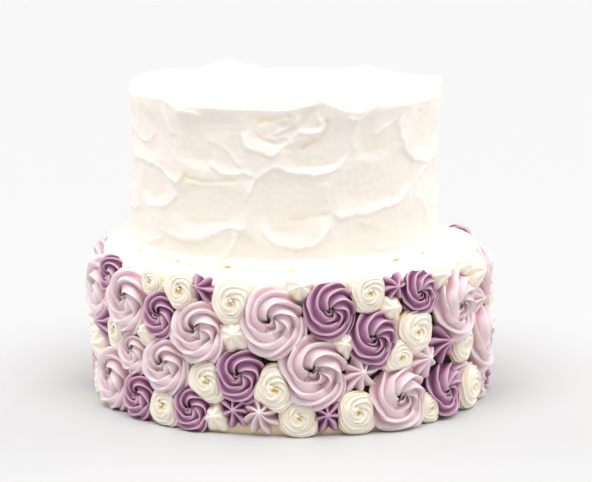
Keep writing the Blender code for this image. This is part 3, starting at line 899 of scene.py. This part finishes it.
def lower_tier(material):
    """The straight side that the piping hides, a soft edge and the ledge round the upper tier."""
    profile = lower_profile()
    angle = full_turn(LOWER_COLUMNS)
    radius, height = profile[:, :1], profile[:, 1:]
    place = on_cylinder(angle, radius, height)
    swell = 0.0006 * unevenness(place, 0.03, 41) + 0.00025 * unevenness(place, 0.009, 42)
    on_top = smooth_step(LOWER_HEIGHT - 0.006, LOWER_HEIGHT - 0.001, height)
    waves = 0.0005 * np.sin(5 * angle + 1)
    place[..., 2] += (swell + waves) * on_top * smooth_step(*LEVEL_EDGE, radius)
    ends = np.array([[0, 0, 0], [0, 0, LOWER_HEIGHT]])
    points = np.concatenate([place.reshape(-1, 3), ends])
    # Painted shade on the side between the pieces: darker below the top of the piping, near black in the
    # hollows above the foot
    wall = np.broadcast_to(1 - smooth_step(*WALL_SHADE_TOP, height), place.shape[:2]).ravel()
    shade = wall * np.broadcast_to(smooth_step(*WALL_SHADE_FOOT, height), place.shape[:2]).ravel()
    values = {
        "groove": np.append(0.25 + 0.75 * wall, [1, 1]),
        "low": np.append(wall, [1, 0]),
        "eye": np.append(shade, [1, 0]),
    }
    faces = closed_faces(len(profile), LOWER_COLUMNS)
    tier = icing_object("lower_tier_icing", points, faces, values, "cream", material)
    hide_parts("lower_tier")


# Finishes

class Amount:
    """A number that varies over a surface, and takes part in sums like any other."""

    def __init__(self, recipe, socket):
        self.recipe = recipe
        self.socket = socket

    def reckon(self, operation, first, second):
        return self.recipe.add("ShaderNodeMath", {"operation": operation}, {0: first, 1: second})

    def __add__(self, other):
        return self.reckon("ADD", self, other)

    def __radd__(self, other):
        return self.reckon("ADD", other, self)

    def __sub__(self, other):
        return self.reckon("SUBTRACT", self, other)

    def __rsub__(self, other):
        return self.reckon("SUBTRACT", other, self)

    def __mul__(self, other):
        return self.reckon("MULTIPLY", self, other)

    def __rmul__(self, other):
        return self.reckon("MULTIPLY", other, self)


class Recipe:
    """A finish in the making: a material, its nodes and its shader."""

    def __init__(self, name):
        self.material = bpy.data.materials.new(name)
        self.material.use_nodes = True
        self.tree = self.material.node_tree
        self.shader = self.tree.nodes["Principled BSDF"]

    def feed(self, socket, value):
        if isinstance(value, Amount):
            self.tree.links.new(value.socket, socket)
        else:
            socket.default_value = value

    def add(self, kind, settings, inputs, output=0):
        node = self.tree.nodes.new(kind)
        for key, value in settings.items():
            setattr(node, key, value)
        for key, value in inputs.items():
            self.feed(node.inputs[key], value)
        return Amount(self, node.outputs[output])

    def painted(self, key):
        return self.add("ShaderNodeAttribute", {"attribute_name": key}, {}, "Fac")

    def place(self):
        return self.add("ShaderNodeTexCoord", {}, {}, "Object")

    def noise(self, scale, detail=2.0):
        inputs = {"Vector": self.place(), "Scale": scale, "Detail": detail}
        return self.add("ShaderNodeTexNoise", {}, inputs, "Fac")

    def blend(self, share, first, second):
        settings = {"data_type": "RGBA"}
        return self.add("ShaderNodeMix", settings, {0: share, 6: first, 7: second}, 2)

    def clamp(self, value, low, high):
        inputs = {"Value": value, "From Min": low, "From Max": high}
        return self.add("ShaderNodeMapRange", {"clamp": True}, inputs)

    def surface(self, **inputs):
        for key, value in inputs.items():
            self.feed(self.shader.inputs[key.replace("_", " ")], value)

    def bump(self, height, depth):
        inputs = {"Height": height, "Distance": depth, "Strength": 1.0}
        return self.add("ShaderNodeBump", {}, inputs, "Normal")


def buttercream(name):
    """Buttercream with a painted highlight on its ridge crests, painted shade in its valleys and darker
    painted shade in its hollows, which on the upper tier also tints its crumbs.
    """
    look = LOOKS[name]
    recipe = Recipe(name)
    groove = recipe.painted("groove")
    low = recipe.painted("low")
    eye = recipe.painted("eye")
    cloud = recipe.noise(CLOUD_SCALE)
    grain = recipe.noise(GRAIN_SCALE, 4.0)
    pores = recipe.noise(PORE_SCALE)
    # painted highlight: crests are blended to a paler colour than the body
    colour = recipe.blend(
        recipe.clamp(groove + 0.30 * cloud - 0.15, 0.02, 0.60), look.crest, look.body
    )
    # painted shade: valleys are darker, more so where they lie low
    colour = recipe.blend(recipe.clamp(groove * (0.45 + low), 0.45, 1.15), colour, look.valley)
    # painted shade in hollows, eyes, gaps and between the pieces; on the upper tier the same colour
    # tints the crumbs
    colour = recipe.blend(recipe.clamp(eye, 0.0, 0.95), colour, look.hollow)
    recipe.surface(
        Base_Color=colour,
        Roughness=look.roughness + 0.12 * grain,
        Normal=recipe.bump(0.7 * grain + 0.3 * pores, BUMP_DEPTH),
        Subsurface_Weight=look.glow,
        Subsurface_Radius=GLOW_COLOUR,
        Subsurface_Scale=GLOW_DEPTH,
        Specular_IOR_Level=SHEEN,
    )
    return recipe.material


def floor_finish():
    recipe = Recipe("pale_floor")
    recipe.surface(Base_Color=FLOOR_COLOUR, Roughness=FLOOR_ROUGHNESS)
    return recipe.material


# Studio

def floor():
    mesh = bpy.data.meshes.new("floor")
    signs = [(-1, -1), (1, -1), (1, 1), (-1, 1)]
    corners = [(x * FLOOR_REACH, y * FLOOR_REACH, 0) for x, y in signs]
    mesh.from_pydata(corners, [], [(0, 1, 2, 3)])
    mesh.materials.append(floor_finish())
    plane = bpy.data.objects.new("floor", mesh)
    bpy.context.scene.collection.objects.link(plane)


def light(lamp):
    data = bpy.data.lights.new(lamp.name, "SUN")
    data.angle = math.radians(lamp.spread)
    data.energy = lamp.strength
    sun = bpy.data.objects.new(lamp.name, data)
    sun.rotation_euler = (math.radians(90 - lamp.degrees_up), 0, math.radians(-lamp.degrees_round))
    bpy.context.scene.collection.objects.link(sun)


def studio():
    scene = bpy.context.scene
    world = bpy.data.worlds.new("studio")
    world.use_nodes = True
    sky = world.node_tree.nodes["Background"]
    sky.inputs["Color"].default_value = SKY_COLOUR
    sky.inputs["Strength"].default_value = SKY_STRENGTH
    scene.world = world
    scene.view_settings.view_transform = "Standard"
    for lamp in LAMPS:
        light(lamp)


def camera():
    data = bpy.data.cameras.new("camera")
    data.sensor_width = SENSOR_MM
    data.lens = FOCAL_PIXELS * SENSOR_MM / PICTURE_WIDTH
    view = bpy.data.objects.new("camera", data)
    view.location = CAMERA_PLACE
    view.rotation_euler = (math.radians(90 - CAMERA_PITCH), 0, 0)
    bpy.context.scene.collection.objects.link(view)
    bpy.context.scene.camera = view


def main():
    camera()
    floor()
    studio()
    tiers = buttercream("icing")
    # the lower tier's material, painted with shade between the pieces
    wall = buttercream("icing_shaded_between")
    materials = {finish: buttercream(finish + "_buttercream") for finish in ("cream", "lilac", "plum")}
    lower_tier(wall)
    upper_tier(tiers)
    pipe_everything(materials)


main()
